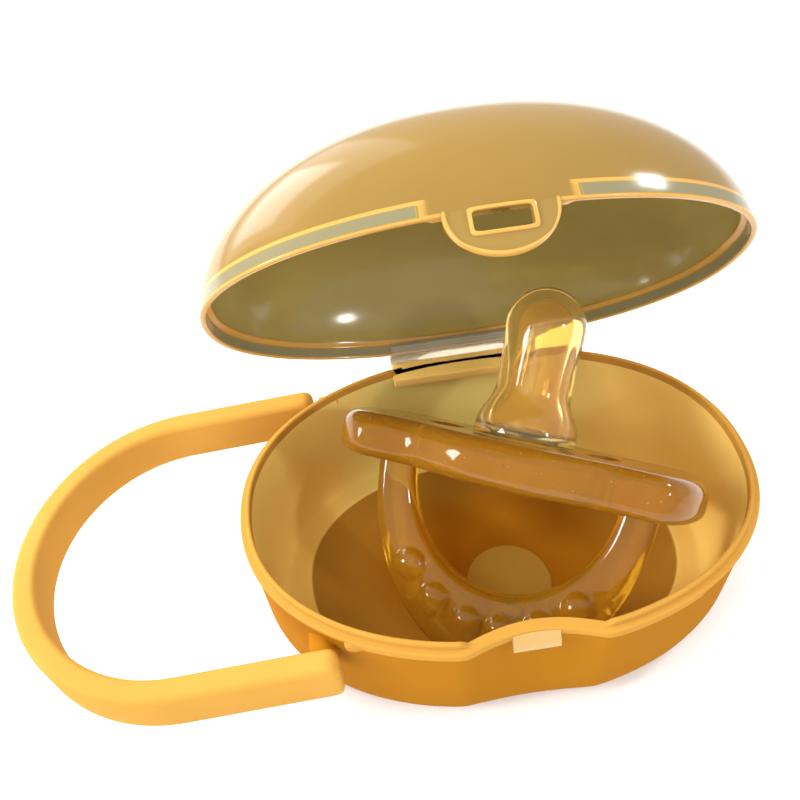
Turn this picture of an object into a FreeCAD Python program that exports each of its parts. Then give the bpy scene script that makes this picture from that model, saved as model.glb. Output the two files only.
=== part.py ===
"""Pacifier in its hinged carry case with a strap handle.

Millimetres, +Z up. The origin is the centre of the flat underside of the case, +X runs along the
case's long axis away from the handle, and +Y runs to the hinge. The lid stands open, and the
pacifier stands in the base on the bottom of its ring.
"""
import FreeCAD, Part
import math
import os

V = FreeCAD.Vector

# --- driving dimensions -----------------------------------------------------------------------
CASE_HALF_LENGTH = 35.0        # rim, along X
CASE_HALF_WIDTH = 24.75        # rim, along Y
RIM_POWER = 2.19               # power of the rim's superellipse, 2 being an ellipse
BASE_HEIGHT = 21.0             # underside to the mating plane
LID_HEIGHT = 22.6              # mating plane to the top of the dome
DOME_START = 0.5               # height above the mating plane where the lid starts to curve in
SEAM = 0.1                     # gap between the shut lid and the base

WALL_INSET_TOP = 0.4           # the wall stands this far inside the rim's edge
WALL_INSET_LOW = 0.75
CORNER_START = 13.5            # depth below the rim where the wall turns in
CORNER_WIDTH = 3.8
INNER_INSET_TOP = 1.5
INNER_INSET_LOW = 1.95
INNER_CORNER_WIDTH = 2.2
FLOOR_THICKNESS = 1.3
RIM_BAND = 0.8                 # height of the rim's outward edge
RIM_BAND_FRONT = 1.35          # the same along the front
FRONT_BAND_HALF = 21.2
LIP_HEIGHT = 1.0
LIP_INSET = 0.85
LIP_END_GAP = 0.2
LUG_RADIUS = 1.4               # half-round lugs that hang from the rim beside the strap
LUG_OFFSET = 2.3
LUG_REACH = 1.1

RECESS_HALF = 8.6              # thumb recess in the front of the base
RECESS_DEPTH = 2.45
RECESS_FADE = 1.7
CATCH_HALF = 2.9
CATCH_TIP = 23.5               # how far forward the catch reaches, as -Y
CATCH_DROP = 2.45
CATCH_TOP = 0.25
CATCH_SLOPE_START = 22.55
CATCH_FACE = 0.7

LID_WALL = 1.2
LID_WALL_SIDE = 1.4
REBATE_HEIGHT = 2.0
SKIRT = 0.75
REBATE_FRONT_HALF = 7.6        # the rebate stops this far either side of the tab
TAB_HALF = 6.1
TAB_DROP = 4.95
TAB_THICKNESS = 1.0
WINDOW_HALF = 3.1
WINDOW_LOW = -2.2             # from the mating plane
WINDOW_HIGH = 0.1

HINGE_HALF = 11.0              # half length of the living hinge
HINGE_Y = 25.65
LID_OPEN = 61.0                # degrees the lid stands open
LEAF_BACK = 25.0
LEDGE_DEPTH = 1.6
TONGUE_FRONT = 23.9
TONGUE_DEPTH = 1.4
TONGUE_TOP = 0.5
LID_LEAF_FRONT = 23.1
LID_LEAF_HEIGHT = 2.1
WEB_ON_BASE = 0.95             # web's ends, below and above the mating plane
WEB_ON_LID = 0.3
LEDGE_INNER = 21.1
WEB_THICKNESS = 0.35

STRAP_INNER = 19.7             # half the gap between the strap's arms
STRAP_THICKNESS = 3.3
STRAP_HEIGHT = 7.3
STRAP_END = -23.7
STRAP_BEND = -43.9             # where the arms meet the round end
STRAP_EDGE = 0.8
STRAP_CORNER = 1.6             # rounding of the arms' free ends
STRAP_DROOP = 3.5              # degrees the strap hangs below level
PEG_X = -25.6
PEG_DEPTH = 4.6                # peg axis below the mating plane
PEG_RADIUS = 1.3
PEG_FIT = 0.05                 # radial clearance of the strap on its pegs
BOSS_RADIUS = 1.8
STRAP_GAP = 0.15               # side clearance between boss and strap
PEG_REACH = 2.0                # peg's length inside the strap
PEG_HOLE_DEPTH = 2.15

SHIELD_HALF_LENGTH = 24.4
SHIELD_HALF_WIDTH = 16.6
SHIELD_TOP = 3.4               # the shield's faces, along the nipple's axis
SHIELD_UNDER = -2.4
SHIELD_EDGE = 1.7
VENT_OFFSET = 10.9
VENT_HALF_WIDTH = 2.3
VENT_HALF_LENGTH = 4.2
STEM_RADIUS = 6.0              # nipple's root, bonded into the shield
STEM_BORE = 3.2
NIPPLE_REACH = 19.1            # shield middle to the centre of the ball
BALL_RADIUS = 5.45
FLARE_RADIUS = 7.0
# radius and height of the nipple's side, from the flare up to the neck
NIPPLE_SIDE = ((FLARE_RADIUS, 4.4), (6.85, 5.6), (6.45, 6.7), (5.85, 7.7), (5.35, 8.7), (5.12, 9.8),
               (5.08, 12.6), (5.15, 15.6))
NIPPLE_WALL = 1.7
RING_HALF_LENGTH = 19.3
RING_DROP = 26.8
HOLE_HALF_LENGTH = 14.1
HOLE_DROP = 16.3
RING_START = -1.5
RING_HALF_THICKNESS = 2.5
RING_EDGE = 1.2
NUB_RADIUS = 2.3
NUB_RISE = 1.1
NUB_ANGLES = (46, 64, 82, 98, 116, 134)
NUB_DROP = 20.9
PACIFIER_AT = (3.5, 1.2, 22.25)
NIPPLE_AXIS = (0.333, 0.668, 0.665)
SHIELD_AXIS = (0.881, -0.473, 0.034)

RIM = BASE_HEIGHT


# --- outlines ---------------------------------------------------------------------------------
def rim_point(inset, angle, z):
    """A point of the rim's superellipse, drawn in by inset."""
    c, s = math.cos(angle), math.sin(angle)
    power = 2.0 / RIM_POWER
    x = (CASE_HALF_LENGTH - inset) * math.copysign(abs(c) ** power, c)
    y = (CASE_HALF_WIDTH - inset) * math.copysign(abs(s) ** power, s)
    return V(x, y, z)


def rim_half_width(inset, x):
    """Y of the rim's outline at a given X."""
    share = abs(x) / (CASE_HALF_LENGTH - inset)
    return (CASE_HALF_WIDTH - inset) * (1 - share ** RIM_POWER) ** (1 / RIM_POWER)


def curve_through(points):
    """One smooth edge through the points."""
    spline = Part.BSplineCurve()
    spline.interpolate(points)
    return spline.toShape()


def recess_curve(inset, z, depth):
    """The front of the outline between the two ends of the thumb recess."""
    points = []
    for i in range(13):
        x = RECESS_HALF * (i / 6.0 - 1)
        push = depth * (1 - (x / RECESS_HALF) ** 2)
        points.append(V(x, push - rim_half_width(inset, x), z))
    return points


def outline(inset, z, depth=0.0):
    """Closed wire of the case at height z: the main sweep, then the front stretch."""
    c = (RECESS_HALF / (CASE_HALF_LENGTH - inset)) ** (RIM_POWER / 2.0)
    start = 2 * math.pi - math.acos(c)
    sweep = 2 * math.pi - 2 * (start - 1.5 * math.pi)
    main = [rim_point(inset, start + sweep * i / 44.0, z) for i in range(45)]
    front = recess_curve(inset, z, depth)
    front[0] = main[-1]
    front[-1] = main[0]
    return Part.Wire([curve_through(main), curve_through(front)])


def prism(inset, low, high, depth=0.0):
    """Upright solid on the case's outline."""
    return Part.Face(outline(inset, low, depth)).extrude(V(0, 0, high - low))


def centred_box(half_x, y_low, y_high, z_low, z_high):
    return Part.makeBox(2 * half_x, y_high - y_low, z_high - z_low, V(-half_x, y_low, z_low))


def recess_depth(below_rim):
    return RECESS_DEPTH - RECESS_FADE * (below_rim / BASE_HEIGHT) ** 1.5


# --- base -------------------------------------------------------------------------------------
def bowl(inset_top, inset_low, corner_width, depth_total):
    """Solid bowl from just under the rim down to depth_total, with its lower corner rounded."""
    levels = []
    for step in range(6):
        levels.append((CORNER_START * step / 6, inset_top + (inset_low - inset_top) * step / 6))
    drop = depth_total - CORNER_START
    for step in range(7):
        turn = math.radians(15.0 * step)
        below = CORNER_START + drop * math.sin(turn)
        levels.append((below, inset_low + corner_width * (1 - math.cos(turn))))
    wires = [outline(inset, RIM - below, recess_depth(below)) for below, inset in levels]
    return Part.makeLoft(wires, True, False)


def rim_band():
    """The rim's outward edge, taller along the front."""
    band = prism(0.0, RIM - RIM_BAND, RIM, RECESS_DEPTH)
    tall = prism(0.0, RIM - RIM_BAND_FRONT, RIM, RECESS_DEPTH)
    front = centred_box(FRONT_BAND_HALF, -40, 0, RIM - 5, RIM + 5)
    return band.fuse(tall.common(front))


def strap_stop():
    """Small half-round lug that hangs from the rim beside each arm of the strap."""
    x = STRAP_END + LUG_OFFSET
    y = rim_half_width(0.0, x)
    lugs = []
    for side in (-1, 1):
        start = V(x, side * (y - LUG_REACH), RIM - RIM_BAND)
        lugs.append(Part.makeCylinder(LUG_RADIUS, LUG_REACH, start, V(0, side, 0)))
    return lugs[0].fuse(lugs[1]).cut(centred_box(40, -40, 40, RIM - RIM_BAND / 2, RIM + 5))


def rim_lip():
    """The raised lip that the lid's rebate drops over."""
    ring = prism(LIP_INSET, RIM - RIM_BAND / 2, RIM + LIP_HEIGHT)
    ring = ring.cut(prism(INNER_INSET_TOP, RIM - 1, RIM + 2))
    ring = ring.cut(centred_box(RECESS_HALF + LIP_END_GAP, -40, 0, RIM - 1, RIM + 5))
    return ring.cut(centred_box(HINGE_HALF + LIP_END_GAP, 0, 40, RIM - 1, RIM + 5))


def filled_base():
    return bowl(WALL_INSET_TOP, WALL_INSET_LOW, CORNER_WIDTH, BASE_HEIGHT)


def base_cavity():
    hollow = bowl(INNER_INSET_TOP, INNER_INSET_LOW, INNER_CORNER_WIDTH, BASE_HEIGHT - FLOOR_THICKNESS)
    mouth = prism(INNER_INSET_TOP, RIM - 0.01, RIM + 3, RECESS_DEPTH)
    return hollow.fuse(mouth)


def hinge_ledge_space():
    """Room in the back of the base for its hinge leaf."""
    return centred_box(HINGE_HALF, LEDGE_INNER, TONGUE_FRONT, RIM - LEDGE_DEPTH, RIM)


def make_base_shell():
    shell = filled_base().fuse(rim_band()).fuse(strap_stop()).cut(base_cavity())
    shell = shell.fuse(rim_lip())
    shell = shell.cut(centred_box(HINGE_HALF + SEAM, TONGUE_FRONT, 40, RIM - TONGUE_DEPTH, RIM + 5))
    return shell.cut(hinge_ledge_space()).removeSplitter()


def make_hinge_leaf_base():
    """Stiff straight leaf across the back of the rim, with a tongue for the web."""
    tongue = centred_box(HINGE_HALF, TONGUE_FRONT, LEAF_BACK, RIM - TONGUE_DEPTH, RIM - TONGUE_TOP)
    return hinge_ledge_space().fuse(tongue).removeSplitter()


def make_latch_catch():
    """Sloped catch under the rim in the thumb recess."""
    back = 1.0 + RECESS_DEPTH - CASE_HALF_WIDTH
    low, high = RIM - CATCH_DROP, RIM - CATCH_TOP
    side = [(back, high), (-CATCH_SLOPE_START, high), (-CATCH_TIP, low + CATCH_FACE),
            (-CATCH_TIP, low), (back, low)]
    points = [V(-CATCH_HALF, y, z) for y, z in side]
    wedge = Part.Face(Part.makePolygon(points + points[:1])).extrude(V(2 * CATCH_HALF, 0, 0))
    wall = filled_base().fuse(prism(0.0, RIM - RIM_BAND_FRONT, RIM, RECESS_DEPTH))
    return wedge.cut(wall)


def make_peg(side):
    """Boss and pivot peg that stand out from the wall towards one arm of the strap."""
    axis = V(PEG_X, 0, RIM - PEG_DEPTH)
    out = V(0, side, 0)
    boss = Part.makeCylinder(BOSS_RADIUS, STRAP_INNER - STRAP_GAP, axis, out)
    peg = Part.makeCylinder(PEG_RADIUS, STRAP_INNER + PEG_REACH, axis, out)
    wall = filled_base().fuse(prism(0.0, RIM - RIM_BAND, RIM, RECESS_DEPTH))
    keep = Part.makeBox(20, 30, 20, V(PEG_X - 10, 0 if side > 0 else -30, RIM - PEG_DEPTH - 10))
    pieces = boss.fuse(peg).cut(wall).common(keep)
    return max(pieces.Solids, key=lambda solid: solid.Volume)


# --- lid, modelled shut and then swung open ---------------------------------------------------
def dome(inset, low, crown):
    """Solid dome on the rim's outline, from height low to the crown."""
    half_x, half_y = CASE_HALF_LENGTH - inset, CASE_HALF_WIDTH - inset
    upright = Part.Face(dome_ring(half_x, half_y, low)).extrude(V(0, 0, RIM + DOME_START - low))
    wires = []
    for angle in (0, 12, 24, 36, 47, 57, 66, 74, 80, 84):
        turn = math.radians(angle)
        share = math.cos(turn)
        height = RIM + DOME_START + (crown - DOME_START) * math.sin(turn)
        wires.append(dome_ring(half_x * share, half_y * share, height))
    return upright.fuse(Part.makeLoft(wires, True, False))


def dome_ring(half_x, half_y, z):
    """Closed superellipse with the given half lengths."""
    points = []
    for i in range(48):
        c, s = math.cos(2 * math.pi * i / 48), math.sin(2 * math.pi * i / 48)
        power = 2.0 / RIM_POWER
        points.append(V(half_x * math.copysign(abs(c) ** power, c),
                        half_y * math.copysign(abs(s) ** power, s), z))
    spline = Part.BSplineCurve()
    spline.interpolate(points, True)
    return Part.Wire([spline.toShape()])


def swing_open(shape):
    """Turns a shape from the shut lid to where the lid stands."""
    turned = shape.copy()
    turned.rotate(V(0, HINGE_Y, RIM), V(-1, 0, 0), LID_OPEN)
    return turned


def leaf_lid_space():
    return centred_box(HINGE_HALF, LID_LEAF_FRONT, LEAF_BACK, RIM + SEAM, RIM + LID_LEAF_HEIGHT)


def make_lid_shell():
    skin = dome(0.0, RIM + SEAM, LID_HEIGHT)
    hollow = dome(LID_WALL_SIDE, RIM - 2, LID_HEIGHT - LID_WALL)
    rebate = prism(SKIRT, RIM - 2, RIM + REBATE_HEIGHT)
    rebate = rebate.cut(centred_box(REBATE_FRONT_HALF, -40, 0, RIM - 5, RIM + 5))
    shell = skin.cut(hollow).cut(rebate)
    return swing_open(shell.cut(leaf_lid_space()).removeSplitter())


def make_hinge_leaf_lid():
    """Straight leaf across the back of the lid's skirt."""
    return swing_open(leaf_lid_space())


def make_latch_tab():
    """Rounded tab that hangs from the lid's front and hooks the catch with its window."""
    band = prism(0.0, RIM - 8, RIM + SEAM).cut(prism(TAB_THICKNESS, RIM - 9, RIM + 1))
    rise = V(0, 0, RIM + SEAM)
    curve = Part.Ellipse(V(0, 0, 0), TAB_HALF, TAB_DROP + SEAM).toShape()
    disc = Part.Face(Part.Wire([curve]))
    disc.rotate(V(0, 0, 0), V(1, 0, 0), 90)
    disc.translate(rise)
    rounded = disc.extrude(V(0, -40, 0))
    window = centred_box(WINDOW_HALF, -40, -15, RIM + WINDOW_LOW, RIM + WINDOW_HIGH)
    return swing_open(band.common(rounded).cut(window))


def make_hinge_web():
    """Thin flexing strip between the two leaves, drawn for the open lid."""
    base_end = V(0, LEAF_BACK, RIM - WEB_ON_BASE)
    lid_end = swing_open(Part.Vertex(0, LEAF_BACK, RIM + SEAM + WEB_ON_LID)).Point
    crown = V(0, HINGE_Y + 0.35, RIM - 0.35)
    middle = Part.Arc(base_end, crown, lid_end).toShape().Curve
    rails = []
    for offset in (-WEB_THICKNESS / 2, WEB_THICKNESS / 2):
        scale = 1 + offset / middle.Radius
        rails.append([middle.Center + (p - middle.Center) * scale for p in (base_end, crown, lid_end)])
    inner, outer = rails
    edges = [Part.Arc(*inner).toShape(), Part.makeLine(inner[2], outer[2]),
             Part.Arc(*outer).toShape(), Part.makeLine(outer[0], inner[0])]
    strip = Part.Face(Part.Wire(Part.__sortEdges__(edges)))
    strip.translate(V(-HINGE_HALF, 0, 0))
    web = strip.extrude(V(2 * HINGE_HALF, 0, 0))
    return web.cut(make_hinge_leaf_lid()).cut(make_hinge_leaf_base())


# --- strap handle -----------------------------------------------------------------------------
def strap_outline(half):
    """U-shaped face edge: two arms and the round end, half apart from the middle."""
    tip = V(STRAP_BEND - half, 0, 0)
    a, b = V(STRAP_END, -half, 0), V(STRAP_BEND, -half, 0)
    c, d = V(STRAP_BEND, half, 0), V(STRAP_END, half, 0)
    bend = Part.Arc(b, tip, c).toShape()
    return [Part.makeLine(a, b), bend, Part.makeLine(c, d), Part.makeLine(d, a)]


def make_handle_strap():
    outer = Part.Face(Part.Wire(strap_outline(STRAP_INNER + STRAP_THICKNESS)))
    inner = Part.Face(Part.Wire(strap_outline(STRAP_INNER)))
    strap = outer.extrude(V(0, 0, STRAP_HEIGHT)).cut(inner.extrude(V(0, 0, STRAP_HEIGHT)))
    strap = strap.makeFillet(STRAP_CORNER, [e for e in strap.Edges if arm_end_edge(e)])
    strap = strap.makeFillet(STRAP_EDGE, [e for e in strap.Edges if rounded_strap_edge(e)])
    strap.translate(V(0, 0, RIM - PEG_DEPTH - STRAP_HEIGHT / 2))
    for side in (-1, 1):
        start = V(PEG_X, side * STRAP_INNER, RIM - PEG_DEPTH)
        strap = strap.cut(Part.makeCylinder(PEG_RADIUS + PEG_FIT, PEG_HOLE_DEPTH, start, V(0, side, 0)))
    strap.rotate(V(PEG_X, 0, RIM - PEG_DEPTH), V(0, 1, 0), -STRAP_DROOP)
    return strap


def arm_end_edge(edge):
    """The top and bottom edges of the arms' free ends."""
    box = edge.BoundBox
    return box.XMin > STRAP_END - 0.01 and box.ZLength < 0.01 and box.YLength > 1


def rounded_strap_edge(edge):
    """The long edges, along the arms and round the end."""
    box = edge.BoundBox
    return box.ZLength < 0.01 and (box.XLength > 1 or box.YLength > 2 * STRAP_INNER - 1)


# --- pacifier, modelled with the nipple up and then stood in the case -------------------------
def place_pacifier(shape):
    """Stands a shape from its own frame into the case."""
    up = V(*NIPPLE_AXIS).normalize()
    along = V(*SHIELD_AXIS)
    along = (along - up * along.dot(up)).normalize()
    across = up.cross(along)
    matrix = FreeCAD.Matrix(along.x, across.x, up.x, PACIFIER_AT[0],
                            along.y, across.y, up.y, PACIFIER_AT[1],
                            along.z, across.z, up.z, PACIFIER_AT[2], 0, 0, 0, 1)
    placed = shape.copy()
    placed.Placement = FreeCAD.Placement(matrix).multiply(placed.Placement)
    return placed


def shield_outline(z):
    """Butterfly outline: a middle bulge and an end lobe on each side, with dips between them."""
    l, w = SHIELD_HALF_LENGTH, SHIELD_HALF_WIDTH
    quarter = [(0.0, 0.99 * w), (0.2 * l, 0.97 * w), (0.38 * l, 0.87 * w), (0.52 * l, 0.79 * w),
               (0.66 * l, 0.8 * w), (0.8 * l, 0.79 * w), (0.92 * l, 0.6 * w), (0.985 * l, 0.3 * w), (l, 0.0)]
    upper = quarter + [(x, -y) for x, y in quarter[-2::-1]]
    whole = upper + [(-x, y) for x, y in upper[-2:0:-1]]
    spline = Part.BSplineCurve()
    spline.interpolate([V(x, y, z) for x, y in whole], True)
    return Part.Wire([spline.toShape()])


def make_shield_solid():
    plate = Part.Face(shield_outline(SHIELD_UNDER)).extrude(V(0, 0, SHIELD_TOP - SHIELD_UNDER))
    plate = plate.makeFillet(SHIELD_EDGE, [e for e in plate.Edges if e.BoundBox.ZLength < 0.01])
    for side in (-1, 1):
        oval = Part.Ellipse(V(0, 0, 0), VENT_HALF_LENGTH, VENT_HALF_WIDTH).toShape()
        vent = Part.Face(Part.Wire([oval])).extrude(V(0, 0, 10))
        vent.rotate(V(0, 0, 0), V(0, 0, 1), 90)
        vent.translate(V(side * VENT_OFFSET, 0, -5))
        plate = plate.cut(vent)
    return plate.cut(Part.makeCylinder(STEM_RADIUS, 10, V(0, 0, -5)))


def nipple_section(shrink):
    """Half section of the nipple in the XZ plane, drawn in by shrink: root, flare, neck and ball."""
    shoulder = [V(radius - shrink, 0, height) for radius, height in NIPPLE_SIDE]
    equator = V(BALL_RADIUS - shrink, 0, NIPPLE_REACH)
    tip = V(0, 0, NIPPLE_REACH + BALL_RADIUS - shrink)
    turn = math.sqrt(0.5) * (BALL_RADIUS - shrink)
    cap = Part.Arc(equator, V(turn, 0, NIPPLE_REACH + turn), tip).toShape()
    return shoulder, curve_through(shoulder + [equator]), cap, tip


def make_nipple():
    under, top = SHIELD_UNDER, SHIELD_TOP
    shoulder, side, cap, tip = nipple_section(0.0)
    foot = [V(0, 0, under), V(STEM_RADIUS, 0, under), V(STEM_RADIUS, 0, top),
            V(FLARE_RADIUS, 0, top), shoulder[0]]
    lines = [Part.makeLine(a, b) for a, b in zip(foot, foot[1:])]
    outer = Part.Face(Part.Wire(lines + [side, cap, Part.makeLine(tip, foot[0])]))
    body = outer.revolve(V(0, 0, 0), V(0, 0, 1), 360)
    shoulder, side, cap, tip = nipple_section(NIPPLE_WALL)
    foot = [V(0, 0, under - 1), V(STEM_BORE, 0, under - 1), V(STEM_BORE, 0, top), shoulder[0]]
    lines = [Part.makeLine(a, b) for a, b in zip(foot, foot[1:])]
    inner = Part.Face(Part.Wire(lines + [side, cap, Part.makeLine(tip, foot[0])]))
    return body.cut(inner.revolve(V(0, 0, 0), V(0, 0, 1), 360))


def half_ellipse_face(half_length, drop):
    """Lower half of an ellipse in the XZ plane, hung from RING_START."""
    curve = Part.Ellipse(V(0, 0, 0), max(drop, half_length), min(drop, half_length)).toShape()
    disc = Part.Face(Part.Wire([curve]))
    if drop > half_length:
        disc.rotate(V(0, 0, 0), V(0, 0, 1), 90)
    disc.rotate(V(0, 0, 0), V(1, 0, 0), 90)
    disc.translate(V(0, 0, RING_START))
    return disc


def ring_nub(angle):
    """Low dome on the ring's front face, at an angle down from the shield."""
    turn = math.radians(angle)
    x = math.cos(turn) * (RING_HALF_LENGTH + HOLE_HALF_LENGTH) / 2
    z = RING_START - math.sin(turn) * NUB_DROP
    ball_radius = (NUB_RADIUS ** 2 + NUB_RISE ** 2) / (2 * NUB_RISE)
    ball = Part.makeSphere(ball_radius, V(x, ball_radius - RING_HALF_THICKNESS - NUB_RISE, z))
    outside = Part.makeBox(80, 10, 80, V(-40, -RING_HALF_THICKNESS - 10, -60))
    return ball.common(outside)


def make_ring_handle():
    thickness = V(0, 2 * RING_HALF_THICKNESS, 0)
    band = half_ellipse_face(RING_HALF_LENGTH, RING_DROP).extrude(thickness)
    band = band.cut(half_ellipse_face(HOLE_HALF_LENGTH, HOLE_DROP).extrude(thickness))
    band.translate(V(0, -RING_HALF_THICKNESS, 0))
    band = band.makeFillet(RING_EDGE, [e for e in band.Edges if e.BoundBox.YLength < 0.01])
    for angle in NUB_ANGLES:
        band = band.fuse(ring_nub(angle))
    below = Part.makeBox(80, 40, 60, V(-40, -20, SHIELD_UNDER - 60))
    return band.common(below)


# --- parts ------------------------------------------------------------------------------------
def all_parts():
    return {
        "base_shell": make_base_shell(),
        "latch_catch": make_latch_catch(),
        "handle_peg_front": make_peg(-1),
        "handle_peg_rear": make_peg(1),
        "hinge_leaf_base": make_hinge_leaf_base(),
        "hinge_web": make_hinge_web(),
        "hinge_leaf_lid": make_hinge_leaf_lid(),
        "lid_shell": make_lid_shell(),
        "latch_tab": make_latch_tab(),
        "handle_strap": make_handle_strap(),
        "nipple": place_pacifier(make_nipple()),
        "shield": place_pacifier(make_shield_solid()),
        "ring_handle": place_pacifier(make_ring_handle()),
    }


os.makedirs("parts", exist_ok=True)
for name, shape in all_parts().items():
    print(name, len(shape.Solids), "solid, valid", shape.isValid(), round(shape.Volume, 2), "mm3")
    shape.exportStep("parts/%s.step" % name)
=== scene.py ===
"""Looks of the pacifier in its hinged carry case. Shapes are drawn in millimetres in the row frame."""
import math

import bmesh
import bpy
import numpy as np
from mathutils import Matrix, Vector


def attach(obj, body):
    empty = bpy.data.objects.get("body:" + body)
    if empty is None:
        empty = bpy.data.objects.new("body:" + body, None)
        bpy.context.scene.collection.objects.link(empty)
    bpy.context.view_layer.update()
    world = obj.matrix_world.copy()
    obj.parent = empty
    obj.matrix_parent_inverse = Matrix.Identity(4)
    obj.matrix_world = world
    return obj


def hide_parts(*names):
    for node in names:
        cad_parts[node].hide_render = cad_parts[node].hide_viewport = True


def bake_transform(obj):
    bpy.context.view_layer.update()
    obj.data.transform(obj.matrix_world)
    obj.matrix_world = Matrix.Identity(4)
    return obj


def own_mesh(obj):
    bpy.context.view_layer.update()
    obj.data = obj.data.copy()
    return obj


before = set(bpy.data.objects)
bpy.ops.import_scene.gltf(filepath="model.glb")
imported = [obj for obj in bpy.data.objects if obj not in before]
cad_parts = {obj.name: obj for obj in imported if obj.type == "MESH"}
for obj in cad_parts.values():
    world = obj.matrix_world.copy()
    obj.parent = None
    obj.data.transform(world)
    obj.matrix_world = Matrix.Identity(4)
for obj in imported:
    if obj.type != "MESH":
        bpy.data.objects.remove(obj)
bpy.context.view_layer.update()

MM = 0.001
HALF_LENGTH, HALF_WIDTH, POWER = 35.0, 24.75, 2.19
RIM = 21.0
WALL_TOP, WALL_LOW = 0.4, 0.75
INNER_TOP, INNER_LOW = 1.5, 1.95
CORNER_START, CORNER_WIDTH, INNER_CORNER = 13.5, 3.8, 2.2
FLOOR = 1.3
BAND, BAND_FRONT, FRONT_HALF = 0.8, 1.35, 21.2
LIP_INSET, LIP_HEIGHT = 0.85, 1.0
RECESS_HALF, RECESS_DEPTH, RECESS_FADE = 8.6, 2.45, 1.7
LID_HEIGHT, LID_WALL_SIDE, LID_WALL, DOME_START, SEAM = 22.6, 1.4, 1.2, 0.5, 0.1
SKIRT, REBATE, REBATE_END = 0.75, 2.0, 7.6
TAB_HALF, TAB_DROP, TAB_THICK = 6.1, 4.95, 1.0
WINDOW_HALF, WINDOW_LOW, WINDOW_HIGH, WINDOW_FRAME = 3.1, -2.2, 0.1, 0.5
HINGE_HALF, HINGE_Y, LID_OPEN = 11.0, 25.65, 61.0
LEAF_BACK, LID_LEAF_FRONT, LID_LEAF_HEIGHT = 25.0, 23.12, 2.1
LEDGE_FRONT, LEDGE_DEPTH = 21.1, 1.6
NOTCH_FRONT, NOTCH_DEPTH = 23.85, 1.4          # cut in the rim for the base's leaf
SEAT_Y, SEAT_HEIGHT = 23.15, 2.05              # flat on the skirt behind the lid's leaf
GROOVE_HEIGHTS, GROOVE_DEPTH, GROOVE_HALF = (0.55, 0.95, 1.35, 1.7), 0.1, 0.1
WEB_HALF = 0.165                               # half the web's thickness
STRAP_INNER, STRAP_THICK, STRAP_HEIGHT = 19.7, 3.3, 7.3
STRAP_END, STRAP_BEND, STRAP_DROOP, STRAP_CORNER = -23.7, -43.9, 3.5, 1.6
PEG_X, PEG_Z = -25.6, 16.4
LUG_RADIUS, LUG_OFFSET, LUG_REACH = 1.4, 2.3, 1.1
DISC_AT, DISC_RADIUS = (1.6, -4.4), 6.2        # pale round step on the floor of the case
DISC_STEPS = ((6.45, 0.0), (6.3, 0.0), (6.2, 0.1), (6.0, 0.12), (3.0, 0.12), (0.0, 0.12))
FLOOR_SINK = 0.12                              # the floor inside its border lies this much lower
RIM_ROUND, LIP_ROUND, LID_EDGE_ROUND = 0.28, 0.28, 0.22
CASE_POINTS = 420                              # points round each ring of base and lid
SHIELD_LENGTH, SHIELD_WIDTH, SHIELD_TOP, SHIELD_UNDER, SHIELD_ROUND = 24.4, 16.6, 3.4, -2.4, 2.3
VENT_OFFSET, VENT_HALF_WIDTH, VENT_HALF_LENGTH, VENT_FLARE = 10.9, 2.2, 4.1, 0.9
RING_LENGTH, RING_DROP, HOLE_LENGTH, HOLE_DROP, RING_START, RING_HALF = 19.3, 26.8, 14.1, 16.3, -1.5, 2.5
NUB_ANGLES, NUB_DROP, NUB_RADIUS, NUB_RISE = (46, 64, 82, 98, 116, 134), 20.9, 2.2, 1.2
NIPPLE_REACH, BALL_RADIUS, NIPPLE_WALL, STEM_BORE = 19.1, 5.45, 1.7, 3.2
PACIFIER_AT = (3.5, 1.2, 22.25)
NIPPLE_AXIS = (0.333, 0.668, 0.665)
SHIELD_AXIS = (0.881, -0.473, 0.034)


# --- mesh helpers -------------------------------------------------------------------------------
def make_piece(name, verts, faces, place=None, tones=None):
    """A smooth-shaded mesh object from points in millimetres."""
    points = np.asarray(verts, float)
    if place is not None:
        points = place(points)
    mesh = bpy.data.meshes.new(name)
    mesh.from_pydata((points * MM).tolist(), [], faces)
    mesh.update()
    piece = bpy.data.objects.new(name, mesh)
    bpy.context.scene.collection.objects.link(piece)
    fix = bmesh.new()
    fix.from_mesh(mesh)
    bmesh.ops.recalc_face_normals(fix, faces=fix.faces)
    fix.to_mesh(mesh)
    fix.free()
    mesh.shade_smooth()
    if tones is not None:
        layer = mesh.attributes.new("tone", "FLOAT", "POINT")
        layer.data.foreach_set("value", np.asarray(tones, np.float32))
    return piece


def grid_faces(rows, cols):
    """Quads between rows of cols points, each row a closed ring."""
    faces = []
    for i in range(rows - 1):
        a, b = i * cols, (i + 1) * cols
        for j in range(cols):
            k = (j + 1) % cols
            faces.append((a + j, a + k, b + k, b + j))
    return faces


def ring_stack(rings, cap_first=True, cap_last=True):
    """Verts and faces for a stack of closed rings, with its ends capped by fans."""
    rows, cols = len(rings), len(rings[0])
    verts = [tuple(p) for ring in rings for p in ring]
    faces = grid_faces(rows, cols)
    for use, row in ((cap_first, 0), (cap_last, rows - 1)):
        if use:
            centre = len(verts)
            verts.append(tuple(np.mean(rings[row], axis=0)))
            base = row * cols
            faces += [(base + j, base + (j + 1) % cols, centre) for j in range(cols)]
    return verts, faces


def turn_matrix(axis, degrees):
    return np.array(Matrix.Rotation(math.radians(degrees), 3, Vector(axis)))


def swing_open(points):
    """From the shut lid to where the lid stands."""
    pivot = np.array((0.0, HINGE_Y, RIM))
    return (points - pivot) @ turn_matrix((-1, 0, 0), LID_OPEN).T + pivot


def droop(points):
    """From the level strap to how it hangs."""
    pivot = np.array((PEG_X, 0.0, PEG_Z))
    return (points - pivot) @ turn_matrix((0, 1, 0), -STRAP_DROOP).T + pivot


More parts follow.
